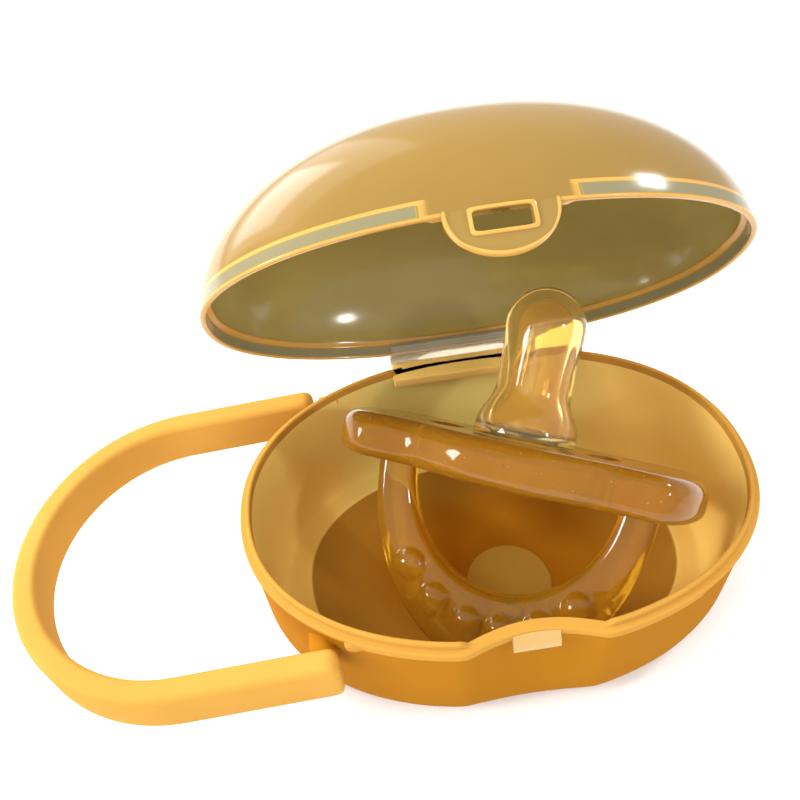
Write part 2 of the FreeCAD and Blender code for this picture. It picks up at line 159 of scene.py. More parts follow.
def pacifier_axes():
    """Directions along the shield, across it and up the nipple."""
    up = Vector(NIPPLE_AXIS).normalized()
    along = Vector(SHIELD_AXIS)
    along = (along - up * along.dot(up)).normalized()
    return along, up.cross(along), up


def stand_in_case(points):
    """From the pacifier's own axes to where it stands in the case."""
    along, across, up = pacifier_axes()
    return points @ np.array((along, across, up)) + np.array(PACIFIER_AT)


def smoothstep(low, high, x):
    t = np.clip((x - low) / (high - low), 0, 1)
    return t * t * (3 - 2 * t)


# --- outline of the case --------------------------------------------------------------------------
def even_angles(count):
    """Angles that space the rim's points evenly."""
    t = np.linspace(0, 2 * math.pi, 6001)
    x, y = rim_curve(t, HALF_LENGTH, HALF_WIDTH)
    walked = np.concatenate(([0], np.cumsum(np.hypot(np.diff(x), np.diff(y)))))
    return np.interp(np.linspace(0, walked[-1], count, endpoint=False), walked, t)


def rim_curve(t, half_x, half_y):
    c, s = np.cos(t), np.sin(t)
    return (half_x * np.sign(c) * np.abs(c) ** (2 / POWER),
            half_y * np.sign(s) * np.abs(s) ** (2 / POWER))


def rim_half_width(inset, x):
    """Half the outline's width at x."""
    share = np.clip(np.abs(x) / (HALF_LENGTH - inset), 0, 1)
    return (HALF_WIDTH - inset) * (1 - share ** POWER) ** (1 / POWER)


def recess_push(x, below):
    """How far the thumb recess stands back from the outline, softened where it starts."""
    hump = 1 - (x / RECESS_HALF) ** 2
    soft = 0.5 * (hump + np.sqrt(hump ** 2 + 0.02))
    depth = RECESS_DEPTH - RECESS_FADE * (np.clip(below, 0, RIM) / RIM) ** 1.5
    return depth * soft


def case_ring(t, inset, scale, z, recess=1.0):
    """One ring of the case; z may differ from point to point."""
    x, y = rim_curve(t, HALF_LENGTH - inset, HALF_WIDTH - inset)
    front = recess * smoothstep(0.0, -6.0, y)
    y = y + front * recess_push(x, RIM - z) * scale ** 2
    return np.stack((x * scale, y * scale, z + 0 * t), axis=-1)


def near_x(x, half, soft):
    """One within half of the middle, falling softly to zero beyond it."""
    return 1 - smoothstep(half - soft, half + soft, np.abs(x))


# --- base -------------------------------------------------------------------------------------------
def base_rows(lip, band):
    """Inset, scale and height of each ring: under, up the outside, over rim and lip, down inside."""
    rows = []
    for scale in (0.0, 0.25, 0.5, 0.75, 0.9, 0.97):
        rows.append((WALL_LOW + CORNER_WIDTH, scale, 0.0))
    for degrees in range(90, -1, -9):
        a = math.radians(degrees)
        below = CORNER_START + (RIM - CORNER_START) * math.sin(a)
        rows.append((WALL_LOW + CORNER_WIDTH * (1 - math.cos(a)), 1.0, RIM - below))
    for share in np.linspace(0.12, 1, 8):
        rows.append((WALL_LOW + (WALL_TOP - WALL_LOW) * share, 1.0,
                     RIM - CORNER_START + (CORNER_START - 1.6) * share))
    rows.append((WALL_TOP, 1.0, RIM - band - 0.12))
    rows.append((WALL_TOP - 0.06, 1.0, RIM - band - 0.02))
    rows.append((0.16, 1.0, RIM - band))
    rows.append((0.04, 1.0, RIM - band + 0.05))
    rows.append((0.0, 1.0, RIM - band + 0.18))
    for degrees in range(0, 91, 18):
        a = math.radians(degrees)
        rows.append((RIM_ROUND * (1 - math.cos(a)), 1.0, RIM - RIM_ROUND * (1 - math.sin(a))))
    rows.append((LIP_INSET - 0.12, 1.0, RIM))
    rows.append((LIP_INSET - 0.03, 1.0, RIM + 0.06 * lip))
    rows.append((LIP_INSET, 1.0, RIM + 0.2 * lip))
    for degrees in range(0, 181, 20):
        a = math.radians(degrees)
        across = (INNER_TOP - LIP_INSET) / 2
        rows.append((LIP_INSET + across * (1 - math.cos(a)), 1.0,
                     RIM + lip * (LIP_HEIGHT - LIP_ROUND + LIP_ROUND * math.sin(a))))
    rows.append((INNER_TOP + 0.005, 1.0, RIM - 0.36))
    for share in np.linspace(0.03, 1, 9):
        rows.append((INNER_TOP + (INNER_LOW - INNER_TOP) * share, 1.0, RIM - CORNER_START * share))
    for degrees in range(8, 91, 8):
        a = math.radians(degrees)
        below = CORNER_START + (RIM - FLOOR - CORNER_START) * math.sin(a)
        rows.append((INNER_LOW + INNER_CORNER * (1 - math.cos(a)), 1.0, RIM - below))
    for scale in (0.985, 0.96, 0.93, 0.905, 0.895, 0.885, 0.7, 0.5):
        rows.append((INNER_LOW + INNER_CORNER, scale, FLOOR - FLOOR_SINK * (scale < 0.9)))
    return rows


def build_base():
    t = even_angles(CASE_POINTS)
    x, y = rim_curve(t, HALF_LENGTH, HALF_WIDTH)
    front, back = (y < 0) * 1.0, (y > 0) * 1.0
    lip = 1 - front * near_x(x, RECESS_HALF + 0.4, 0.35) - back * near_x(x, HINGE_HALF + 0.4, 0.2)
    band = BAND + (BAND_FRONT - BAND) * front * near_x(x, FRONT_HALF, 0.25)
    rings, tones = [], []
    inside = False
    for inset, scale, z in base_rows(lip, band):
        ring = case_ring(t, inset, scale, z + 0 * t)
        notch = ((np.abs(ring[:, 0]) < HINGE_HALF + 0.1) & (ring[:, 1] > NOTCH_FRONT)
                 & (ring[:, 2] > RIM - NOTCH_DEPTH))
        ring[notch, 2] = RIM - NOTCH_DEPTH
        rings.append(ring)
        inside = inside or (scale == 1.0 and np.max(z) > RIM + 0.6)
        tones.append(base_tone_and_painted_light(ring, scale, inside))
    # The floor round the disc takes the painted floor shade (0.3); the disc itself is pale (0.38).
    for radius, lift in DISC_STEPS:
        disc = np.stack((DISC_AT[0] + radius * np.cos(t), DISC_AT[1] + radius * np.sin(t),
                         FLOOR - FLOOR_SINK + lift + 0 * t), axis=-1)
        rings.append(disc)
        tones.append(np.full(len(t), 0.3 if radius > DISC_RADIUS else 0.38))
    verts, faces = ring_stack(rings, False, False)
    for side in (-1, 1):
        lug_verts, lug_faces = strap_stop(side)
        start = len(verts)
        verts += lug_verts
        faces += [tuple(start + i for i in face) for face in lug_faces]
        tones.append(np.full(len(lug_verts), 1.0))
    piece = make_piece("case_base", verts, faces, tones=np.concatenate(tones))
    merge_close(piece)
    return piece


def base_tone_and_painted_light(ring, scale, inside):
    """Ramp position of a ring's points.

    The floor is 0.3 to 0.35, painted shade that is darkest in the middle; the wall inside is 0.62, lightened
    as painted light, going to 0.45 at the ends as a painted orange glow; the outside is 0.82 and the rim 1.
    """
    level = np.mean(ring[:, 2])
    if not inside:
        return np.full(len(ring), 1.0 if level > RIM - BAND_FRONT - 0.05 else 0.82)
    if level > RIM - 0.4:
        return np.full(len(ring), 1.0)
    # Floor: painted shade, darker towards the middle.
    if scale < 0.9:
        return np.full(len(ring), 0.3 + 0.05 * smoothstep(0.4, 0.85, scale))
    # Inside wall: khaki lightened as painted light, turning to a painted orange glow towards both ends.
    return 0.62 - 0.17 * smoothstep(8.0, 27.0, np.abs(ring[:, 0]))


def strap_stop(side):
    """Half-round lug that hangs from the rim beside one arm of the strap."""
    x = STRAP_END + LUG_OFFSET
    y = rim_half_width(0.0, x)
    top = RIM - BAND / 2
    rings = []
    for reach, share in ((-LUG_REACH, 1.0), (-0.35, 1.0), (-0.1, 0.97), (0.0, 0.88)):
        radius = LUG_RADIUS * share
        ring = [(x + radius * math.cos(a), side * (y + reach), RIM - BAND - radius * math.sin(a))
                for a in np.linspace(0, math.pi, 19)]
        ring += [(x - radius, side * (y + reach), top), (x + radius, side * (y + reach), top)]
        rings.append(np.array(ring))
    return ring_stack(rings)


def merge_close(piece, distance=0.004):
    """Welds the points that meet at a pole or at a flattened step."""
    work = bmesh.new()
    work.from_mesh(piece.data)
    bmesh.ops.remove_doubles(work, verts=work.verts, dist=distance * MM)
    bmesh.ops.recalc_face_normals(work, faces=work.faces)
    work.to_mesh(piece.data)
    work.free()
    piece.data.shade_smooth()


# --- lid --------------------------------------------------------------------------------------------
def build_lid():
    t = even_angles(CASE_POINTS)
    x, y = rim_curve(t, HALF_LENGTH, HALF_WIDTH)
    whole = (y < 0) * near_x(x, REBATE_END, 0.3)
    band_end = (y < 0) * near_x(x, REBATE_END + 0.75, 0.2) * (1 - whole)
    tab_gap = (y < 0) * near_x(x, TAB_HALF - 0.1, 0.15)
    skirt = SKIRT + (LID_WALL_SIDE - SKIRT) * whole
    clear = 0.6 * whole
    crown, inner_crown = LID_HEIGHT - DOME_START, LID_HEIGHT - LID_WALL - DOME_START
    rings, tones = [], []

    def add(inset, scale, z, tone):
        rings.append(case_ring(t, inset, scale, z + 0 * t, recess=0.0))
        tones.extend(tone + 0 * t)

    for degrees in list(np.linspace(90, 8, 34)) + [6.2, 5.2, 4.7, 4.35, 3.9, 3.45, 3.1, 2, 1, 0]:
        a = math.radians(degrees)
        z = DOME_START + crown * math.sin(a)
        tone = 0.6 if z > REBATE + 0.3 else 1.0 if z > REBATE - 0.3 else 0.0
        if z < REBATE - 0.3:
            tone = band_end
        add(0.0, math.cos(a), RIM + z, tone + (0.6 - tone) * whole)
    edge = 1.0 - 0.4 * tab_gap
    for degrees in range(0, 91, 18):
        a = math.radians(degrees)
        add(LID_EDGE_ROUND * (1 - math.cos(a)), 1.0,
            RIM + SEAM + LID_EDGE_ROUND * (1 - math.sin(a)), edge)
    add(skirt - 0.1, 1.0, RIM + SEAM, edge)
    add(skirt, 1.0, RIM + SEAM + 0.1, edge)
    add(skirt, 1.0, RIM + 0.5, clear)
    add(skirt, 1.0, RIM + REBATE - 0.35, clear)
    add(skirt, 1.0, RIM + REBATE - 0.1, 0.9)
    add(skirt + 0.08 * (1 - whole), 1.0, RIM + REBATE, 1.0)
    add(LID_WALL_SIDE - 0.05 * (1 - whole), 1.0, RIM + REBATE + 0.01, 1.0)
    for degrees in [4.6, 6, 8] + list(np.linspace(11, 90, 32)):
        a = math.radians(degrees)
        add(LID_WALL_SIDE, math.cos(a), RIM + DOME_START + inner_crown * math.sin(a),
            0.3 if degrees > 5 else 0.9)
    for ring in rings:
        seat = ((np.abs(ring[:, 0]) < HINGE_HALF) & (ring[:, 1] > SEAT_Y)
                & (ring[:, 2] < RIM + SEAT_HEIGHT))
        ring[seat, 1] = SEAT_Y
    verts, faces = ring_stack(rings, False, False)
    piece = make_piece("case_lid", verts, faces, swing_open, tones)
    merge_close(piece)
    return piece


def apply_modifiers(piece):
    depsgraph = bpy.context.evaluated_depsgraph_get()
    mesh = bpy.data.meshes.new_from_object(piece.evaluated_get(depsgraph))
    piece.modifiers.clear()
    piece.data = mesh


def build_tab():
    """Half-oval tab on the lid's front edge with a window, a raised frame round it and a thicker border."""
    top = WINDOW_HIGH + WINDOW_FRAME + 0.5
    count = 120
    turns = np.linspace(0, 2 * math.pi, count, endpoint=False)
    below = np.sin(turns) < 0
    outer = np.stack((TAB_HALF * np.cos(turns),
                      np.where(below, (TAB_DROP + SEAM) * np.sin(turns) + SEAM,
                               np.minimum(SEAM + 3 * top * np.sin(turns), top))), axis=-1)
    outer[~below, 0] = TAB_HALF * np.clip(np.cos(turns[~below]) * 1.08, -1, 1)
    middle = np.array((0.0, (WINDOW_LOW + WINDOW_HIGH) / 2))
    half = np.array((WINDOW_HALF, (WINDOW_HIGH - WINDOW_LOW) / 2))
    hole = middle + half * squared_circle(outer - middle, half)
    frame_edge = middle + (half + WINDOW_FRAME) * squared_circle(outer - middle, half + WINDOW_FRAME)
    rows = []
    for share, depth, tone in ((0.0, 1.0, 0.4), (0.0, 0.15, 0.7), (0.02, 0.0, 1.0), (0.12, -0.1, 1.0),
                               (0.8, -0.1, 1.0), (0.97, 0.0, 0.8), (1.0, 0.04, 0.6)):
        rows.append((hole + (frame_edge - hole) * share, depth, tone))
    for share, depth, tone in ((0.3, 0.04, 0.55), (0.6, 0.04, 0.55), (0.82, 0.04, 0.6), (0.86, 0.0, 0.95),
                               (0.9, -0.06, 1.0), (0.965, -0.04, 1.0), (1.0, 0.12, 1.0), (1.0, 0.85, 1.0),
                               (0.97, 1.0, 0.9), (0.7, 1.0, 0.5)):
        rows.append((frame_edge + (outer - frame_edge) * share, depth, tone))
    rows.append((hole, 1.0, 0.4))
    rings, tones = [], []
    for flat, depth, tone in rows:
        sunk = 0.5 * smoothstep(SEAM + 0.25 * top, top, flat[:, 1])
        y = -rim_half_width(0.0, flat[:, 0]) + depth * TAB_THICK - 0.04 + sunk * (depth < 0.9)
        rings.append(np.stack((flat[:, 0], y, RIM + flat[:, 1]), axis=-1))
        fade = smoothstep(SEAM, top, flat[:, 1])
        tones.append(np.full(count, tone) - 0.4 * (tone > 0.9) * fade * (depth > -0.1))
    verts, faces = ring_stack(rings, False, False)
    piece = make_piece("lid_tab", verts, faces, swing_open, np.concatenate(tones))
    merge_close(piece)
    piece.data.set_sharp_from_angle(angle=math.radians(50))
    return piece


def squared_circle(offsets, half):
    """Where the ray towards each offset leaves a rectangle with slightly rounded corners, in half sizes."""
    ray = offsets / half
    power = 9.0
    return ray / ((np.abs(ray) ** power).sum(axis=1) ** (1 / power))[:, None]


def rounded_box(name, low, high, radius, place=None, grooves=()):
    """Box with rounded edges, and shallow grooves along X on its -Y face at the given heights."""
    low, high = np.array(low, float), np.array(high, float)
    corners = [(i, j, k) for i in (0, 1) for j in (0, 1) for k in (0, 1)]
    verts = [tuple(np.where(c, high, low)) for c in corners]
    faces = [(0, 1, 3, 2), (4, 6, 7, 5), (0, 4, 5, 1), (2, 3, 7, 6), (0, 2, 6, 4), (1, 5, 7, 3)]
    piece = make_piece(name, verts, faces)
    work = bmesh.new()
    work.from_mesh(piece.data)
    for height, depth in grooves:
        groove(work, height * MM, depth * MM, low * MM)
    sharp = [e for e in work.edges if e.calc_face_angle(0) > 1.0]
    bmesh.ops.bevel(work, geom=sharp, offset=radius * MM, segments=3, profile=0.5, affect="EDGES")
    for v in work.verts:
        v.co = Vector(place(np.array(v.co) / MM) * MM) if place else v.co
    bmesh.ops.recalc_face_normals(work, faces=work.faces)
    work.to_mesh(piece.data)
    work.free()
    piece.data.shade_smooth()
    piece.data.set_sharp_from_angle(angle=math.radians(40))
    return piece


def groove(work, height, depth, low):
    """Presses a narrow groove into the low-Y face at one height."""
    half = GROOVE_HALF * MM
    for z in (height - half, height, height + half):
        plane = work.faces[:] + work.edges[:] + work.verts[:]
        bmesh.ops.bisect_plane(work, geom=plane, plane_co=(0, 0, z), plane_no=(0, 0, 1), dist=1e-7)
    for v in work.verts:
        if abs(v.co.z - height) < 1e-6 and abs(v.co.y - low[1]) < 1e-6:
            v.co.y += depth


def build_web():
    """Thin strip of the living hinge, an arc from the base's leaf to the lid's leaf."""
    start = np.array((LEAF_BACK, RIM - 0.55))
    crown = np.array((HINGE_Y + 0.1, RIM + 0.05))
    end = swing_open(np.array((0.0, LEAF_BACK, RIM + SEAM + 0.3)))[1:]
    centre = circle_centre(start, crown, end)
    radius = np.linalg.norm(start - centre)
    a0, a1 = [math.atan2(*(p - centre)[::-1]) for p in (start, end)]
    rings = []
    for a in np.linspace(a0, a1, 17):
        ring = []
        for x, side in ((-1, -1), (1, -1), (1, 1), (-1, 1)):
            r = radius + side * WEB_HALF
            ring.append((x * HINGE_HALF, centre[0] + r * math.cos(a), centre[1] + r * math.sin(a)))
        rings.append(np.array(ring))
    verts, faces = ring_stack(rings)
    return make_piece("hinge_strip", verts, faces)


def circle_centre(a, b, c):
    """Centre of the circle through three points."""
    lhs = 2 * np.array((b - a, c - a))
    rhs = np.array((b @ b - a @ a, c @ c - a @ a))
    return np.linalg.solve(lhs, rhs)


# --- strap ------------------------------------------------------------------------------------------
def build_strap():
    """U-shaped strap: a rounded bar along both arms and round the end."""
    middle = STRAP_INNER + STRAP_THICK / 2
    section = np.array(rounded_section(STRAP_THICK / 2, STRAP_HEIGHT / 2, 0.9, 6))
    ends = [STRAP_CORNER * (1 - math.cos(math.radians(a))) for a in range(0, 91, 10)]
    arm = ends + list(np.linspace(STRAP_CORNER, STRAP_END - STRAP_BEND, 20))[1:]
    rings = []
    for back in arm:
        rings.append(strap_ring(section * end_shares(back), STRAP_END - back, -middle, 0.0, -1.0))
    for a in np.linspace(0, math.pi, 73)[1:-1]:
        rings.append(strap_ring(section, STRAP_BEND - middle * math.sin(a), -middle * math.cos(a),
                                -math.sin(a), -math.cos(a)))
    for back in reversed(arm):
        rings.append(strap_ring(section * end_shares(back), STRAP_END - back, middle, 0.0, 1.0))
    verts, faces = ring_stack(rings)
    return make_piece("strap", verts, faces, droop)


def strap_ring(section, x, y, out_x, out_y):
    return np.array([(x + out_x * u, y + out_y * u, PEG_Z + v) for u, v in section])


def end_shares(back):
    """How much of the strap's thickness and height is left at a distance from its end."""
    shares = []
    for half, radius in ((STRAP_THICK / 2, 0.7), (STRAP_HEIGHT / 2, STRAP_CORNER)):
        short = radius - min(back, radius)
        shares.append(1 - (radius - math.sqrt(radius ** 2 - short ** 2)) / half)
    return np.array(shares)


def rounded_section(half_u, half_v, radius, steps):
    """Closed rounded rectangle, with points along its sides."""
    points = []
    for cu, cv, start in ((1, 1, 0), (-1, 1, 90), (-1, -1, 180), (1, -1, 270)):
        for i in range(steps + 1):
            a = math.radians(start + 90 * i / steps)
            points.append((cu * (half_u - radius) + radius * math.cos(a),
                           cv * (half_v - radius) + radius * math.sin(a)))
    return points


# --- pacifier ---------------------------------------------------------------------------------------
def shield_edge(count):
    """Butterfly outline as evenly spaced points, from a closed smooth curve."""
    l, w = SHIELD_LENGTH, SHIELD_WIDTH
    quarter = [(0.0, 0.99 * w), (0.2 * l, 0.97 * w), (0.38 * l, 0.87 * w), (0.52 * l, 0.79 * w),
               (0.66 * l, 0.8 * w), (0.8 * l, 0.79 * w), (0.92 * l, 0.6 * w), (0.985 * l, 0.3 * w), (l, 0.0)]
    upper = quarter + [(x, -y) for x, y in quarter[-2::-1]]
    knots = np.array(upper + [(-x, y) for x, y in upper[-2:0:-1]])
    n = len(knots)
    samples = []
    for i in range(n):
        p0, p1, p2, p3 = (knots[(i + k) % n] for k in (-1, 0, 1, 2))
        for u in np.linspace(0, 1, 24, endpoint=False):
            samples.append(0.5 * (2 * p1 + (p2 - p0) * u + (2 * p0 - 5 * p1 + 4 * p2 - p3) * u ** 2
                                  + (3 * p1 - p0 - 3 * p2 + p3) * u ** 3))
    samples = np.array(samples)
    for _ in range(12):
        samples = (np.roll(samples, 1, 0) + 2 * samples + np.roll(samples, -1, 0)) / 4
    loop = np.vstack((samples, samples[:1]))
    walked = np.concatenate(([0], np.cumsum(np.hypot(*np.diff(loop, axis=0).T))))
    at = np.linspace(0, walked[-1], count, endpoint=False)
    return np.stack((np.interp(at, walked, loop[:, 0]), np.interp(at, walked, loop[:, 1])), axis=-1)


def edge_normals(edge):
    """Unit vectors that point outwards from the outline."""
    d = np.roll(edge, -1, 0) - np.roll(edge, 1, 0)
    n = np.stack((d[:, 1], -d[:, 0]), axis=-1)
    n /= np.linalg.norm(n, axis=1)[:, None]
    return n * np.sign((n * edge).sum(1).mean())


def build_shield():
    edge = shield_edge(280)
    normal = edge_normals(edge)
    half, middle, radius = (SHIELD_TOP - SHIELD_UNDER) / 2, (SHIELD_TOP + SHIELD_UNDER) / 2, SHIELD_ROUND
    rings = []
    for side in (1, -1):
        rows = []
        for scale in (0.0, 0.15, 0.3, 0.45, 0.6, 0.72, 0.82):
            flat = (edge - normal * radius) * scale
            lift = middle + side * half * (1 - 0.06 * (1 - scale))
            rows.append(np.column_stack((flat, np.full(len(flat), lift))))
        for degrees in range(90, -1 if side > 0 else 0, -10):
            a = math.radians(degrees)
            flat = edge - normal * radius * (1 - math.cos(a))
            z = middle + side * (half - radius + radius * math.sin(a))
            rows.append(np.column_stack((flat, np.full(len(flat), z))))
        rings += rows if side > 0 else rows[::-1]
    verts, faces = ring_stack(rings, False, False)
    piece = make_piece("shield_plate", verts, faces)
    merge_close(piece)
    for side in (-1, 1):
        cut_vent(piece, side)
    for v in piece.data.vertices:
        v.co = Vector(stand_in_case(np.array(v.co) / MM) * MM)
    piece.data.update()
    piece.data.shade_smooth()
    return piece


def cut_vent(piece, side):
    """Cuts one oval vent with flared mouths through the shield."""
    rings = []
    for z in np.linspace(-3.8, 4.8, 22):
        flare = VENT_FLARE * max(0.0, (abs(z - 0.5) - 1.9) / 1.9) ** 2
        ring = [(side * VENT_OFFSET + (VENT_HALF_WIDTH + flare) * math.cos(a),
                 (VENT_HALF_LENGTH + flare) * math.sin(a), z)
                for a in np.linspace(0, 2 * math.pi, 48, endpoint=False)]
        rings.append(np.array(ring))
    verts, faces = ring_stack(rings)
    cutter = make_piece("vent_cutter", verts, faces)
    cut = piece.modifiers.new("vent", "BOOLEAN")
    cut.operation, cut.solver, cut.object = "DIFFERENCE", "EXACT", cutter
    apply_modifiers(piece)
    bpy.data.objects.remove(cutter)


def build_ring():
    """Half-ellipse ring with a soft rounded section and a row of nubs on its front."""
    turns = np.linspace(0, 2 * math.pi, 88, endpoint=False)
    power = 2 / 3.2
    section = np.stack((np.sign(np.cos(turns)) * np.abs(np.cos(turns)) ** power,
                        np.sign(np.sin(turns)) * np.abs(np.sin(turns)) ** power), axis=-1)
    rings = []
    for a in np.linspace(-0.09, math.pi + 0.09, 280):
        outer = np.array((RING_LENGTH * math.cos(a), RING_START - RING_DROP * math.sin(a)))
        inner = np.array((HOLE_LENGTH * math.cos(a), RING_START - HOLE_DROP * math.sin(a)))
        flat = (outer + inner) / 2 + section[:, :1] * (outer - inner) / 2
        ring = np.column_stack((flat[:, 0], section[:, 1] * RING_HALF, np.minimum(flat[:, 1], -1.2)))
        raise_nubs(ring)
        rings.append(ring)
    verts, faces = ring_stack(rings)
    return make_piece("ring", verts, faces, stand_in_case)


def raise_nubs(ring):
    """Lifts the front of a ring of points into the low domes it passes through."""
    for degrees in NUB_ANGLES:
        a = math.radians(degrees)
        x = math.cos(a) * (RING_LENGTH + HOLE_LENGTH) / 2
        z = RING_START - math.sin(a) * NUB_DROP
        gap = np.hypot(ring[:, 0] - x, ring[:, 2] - z) / NUB_RADIUS
        ring[:, 1] -= NUB_RISE * np.clip(1 - gap ** 2, 0, 1) ** 0.6 * (ring[:, 1] < -0.5)


def nipple_profile(shrink):
    """Radius and height along the nipple's side, from the flare to the tip."""
    top = SHIELD_TOP
    knots = np.array(((6.95, top + 0.1), (7.0, top + 1.0), (6.85, 5.6), (6.45, 6.7), (5.85, 7.7),
                      (5.35, 8.7), (5.12, 9.8), (5.08, 12.6), (5.15, 15.6), (5.35, 17.6),
                      (BALL_RADIUS, NIPPLE_REACH)))
    z = np.linspace(knots[0, 1], knots[-1, 1], 44)
    r = np.interp(z, knots[:, 1], knots[:, 0])
    for _ in range(3):
        r[1:-1] = (r[:-2] + 2 * r[1:-1] + r[2:]) / 4
    side = [(a - shrink, b) for a, b in zip(r, z)]
    ball = BALL_RADIUS - shrink
    cap = [(ball * math.cos(a), NIPPLE_REACH + ball * math.sin(a))
           for a in np.linspace(0, math.pi / 2, 16)[1:]]
    return side + cap


def build_nipple():
    outer = nipple_profile(0.0)
    inner = nipple_profile(NIPPLE_WALL)
    top = SHIELD_TOP
    foot = [(STEM_BORE, top + 0.02), (6.3, top + 0.02), (6.8, top + 0.06)]
    profile = [(0.001 if r < 0.001 else r, z) for r, z in inner[::-1] if z > top + 1.0]
    profile += [(3.3, top + 0.5)] + foot + outer
    rings = []
    for r, z in profile:
        rings.append(np.array([(r * math.cos(a), r * math.sin(a), z)
                               for a in np.linspace(0, 2 * math.pi, 96, endpoint=False)]))
    verts, faces = ring_stack(rings, False, False)
    piece = make_piece("nipple_bulb", verts, faces, stand_in_case)
    merge_close(piece)
    return piece


# --- materials --------------------------------------------------------------------------------------
def new_material(name):
    material = bpy.data.materials.new(name)
    material.use_nodes = True
    tree = material.node_tree
    return material, tree, tree.nodes["Principled BSDF"]


def noise(tree, scale, detail=3.0):
    coords = tree.nodes.new("ShaderNodeTexCoord")
    node = tree.nodes.new("ShaderNodeTexNoise")
    node.inputs["Scale"].default_value = scale
    node.inputs["Detail"].default_value = detail
    tree.links.new(coords.outputs["Object"], node.inputs["Vector"])
    return node


def ramp(tree, source, stops):
    node = tree.nodes.new("ShaderNodeValToRGB")
    elements = node.color_ramp.elements
    while len(elements) < len(stops):
        elements.new(0.5)
    for element, (at, colour) in zip(elements, stops):
        element.position = at
        element.color = (*colour, 1.0)
    tree.links.new(source, node.inputs["Fac"])
    return node


def mottled(tree, colour_out, scale, amount):
    """Multiplies a colour by a slow, faint cloud, as moulded plastic has."""
    cloud = noise(tree, scale, 2.0)
    shade = ramp(tree, cloud.outputs["Fac"], ((0.3, (1 - amount,) * 3), (0.7, (1.0,) * 3)))
    mix = tree.nodes.new("ShaderNodeMix")
    mix.data_type, mix.blend_type = "RGBA", "MULTIPLY"
    mix.inputs["Factor"].default_value = 1.0
    tree.links.new(colour_out, mix.inputs["A"])
    tree.links.new(shade.outputs["Color"], mix.inputs["B"])
    return mix.outputs["Result"]


def rough_noise(tree, shader, scale, low, high):
    """Roughness that varies finely between about two values."""
    grain = noise(tree, scale, 4.0)
    spread = tree.nodes.new("ShaderNodeMapRange")
    spread.inputs["To Min"].default_value = low
    spread.inputs["To Max"].default_value = high
    tree.links.new(grain.outputs["Fac"], spread.inputs["Value"])
    tree.links.new(spread.outputs["Result"], shader.inputs["Roughness"])


def bump(tree, shader, scale, strength, distance):
    grain = noise(tree, scale, 4.0)
    node = tree.nodes.new("ShaderNodeBump")
    node.inputs["Strength"].default_value = strength
    node.inputs["Distance"].default_value = distance
    tree.links.new(grain.outputs["Fac"], node.inputs["Height"])
    tree.links.new(node.outputs["Normal"], shader.inputs["Normal"])


def plastic(name, stops, see_through, rough, tone=True, gloss=0.5):
    """Translucent moulded plastic whose colour follows the piece's tone."""
    material, tree, shader = new_material(name)
    if tone:
        source = tree.nodes.new("ShaderNodeAttribute")
        source.attribute_name = "tone"
        colour = ramp(tree, source.outputs["Fac"], stops).outputs["Color"]
    else:
        colour = ramp(tree, noise(tree, 40.0).outputs["Fac"], stops).outputs["Color"]
    colour = mottled(tree, colour, 60.0, 0.08)
    tree.links.new(colour, shader.inputs["Base Color"])
    rough_noise(tree, shader, 900.0, rough[0], rough[1])
    bump(tree, shader, 260.0, 0.03, 0.00004)
    shader.inputs["IOR"].default_value = 1.46
    shader.inputs["Specular IOR Level"].default_value = gloss
    shader.inputs["Transmission Weight"].default_value = see_through
    return material


def silicone(name, light, deep, see_through, specks=True, gloss=0.35):
    """Clear tinted silicone with fine specks in it."""
    material, tree, shader = new_material(name)
    colour = ramp(tree, noise(tree, 90.0, 3.0).outputs["Fac"], ((0.3, deep), (0.7, light))).outputs["Color"]
    if specks:
        coords = tree.nodes.new("ShaderNodeTexCoord")
        cells = tree.nodes.new("ShaderNodeTexVoronoi")
        cells.inputs["Scale"].default_value = 900.0
        tree.links.new(coords.outputs["Object"], cells.inputs["Vector"])
        dots = ramp(tree, cells.outputs["Distance"], ((0.0, (1.0,) * 3), (0.12, (0.0,) * 3)))
        mix = tree.nodes.new("ShaderNodeMix")
        mix.data_type, mix.blend_type = "RGBA", "SCREEN"
        mix.inputs["Factor"].default_value = 0.35
        tree.links.new(colour, mix.inputs["A"])
        tree.links.new(dots.outputs["Color"], mix.inputs["B"])
        colour = mix.outputs["Result"]
    tree.links.new(colour, shader.inputs["Base Color"])
    rough_noise(tree, shader, 700.0, 0.03, 0.09)
    bump(tree, shader, 500.0, 0.05, 0.00005)
    shader.inputs["IOR"].default_value = 1.41
    shader.inputs["Specular IOR Level"].default_value = gloss
    shader.inputs["Transmission Weight"].default_value = see_through
    return material


def wear(piece, material):
    """Gives a piece its one material."""
    piece.data.materials.clear()
    piece.data.materials.append(material)


# Tone ramp of the case: 0.3 painted floor shade, 0.38 the pale disc, 0.45 painted glow at the inside wall's
# ends, 0.62 inside wall lightened as painted light, 0.82 outside, 1 rim.
case_plastic = plastic("case_plastic", ((0.3, (0.40, 0.145, 0.006)), (0.38, (0.50, 0.28, 0.045)),
                                        (0.45, (0.97, 0.66, 0.18)), (0.62, (0.84, 0.74, 0.24)),
                                        (0.82, (0.40, 0.16, 0.008)), (1.0, (0.56, 0.28, 0.048))),
                       0.05, (0.16, 0.24), gloss=0.0)
wall_plastic = plastic("wall_plastic", ((0.3, (0.42, 0.165, 0.007)), (0.7, (0.46, 0.185, 0.009))),
                       0.05, (0.2, 0.3), tone=False, gloss=0.0)
rim_plastic = plastic("rim_plastic", ((0.3, (0.90, 0.58, 0.15)), (0.7, (0.97, 0.66, 0.19))),
                      0.1, (0.16, 0.24), tone=False, gloss=0.3)
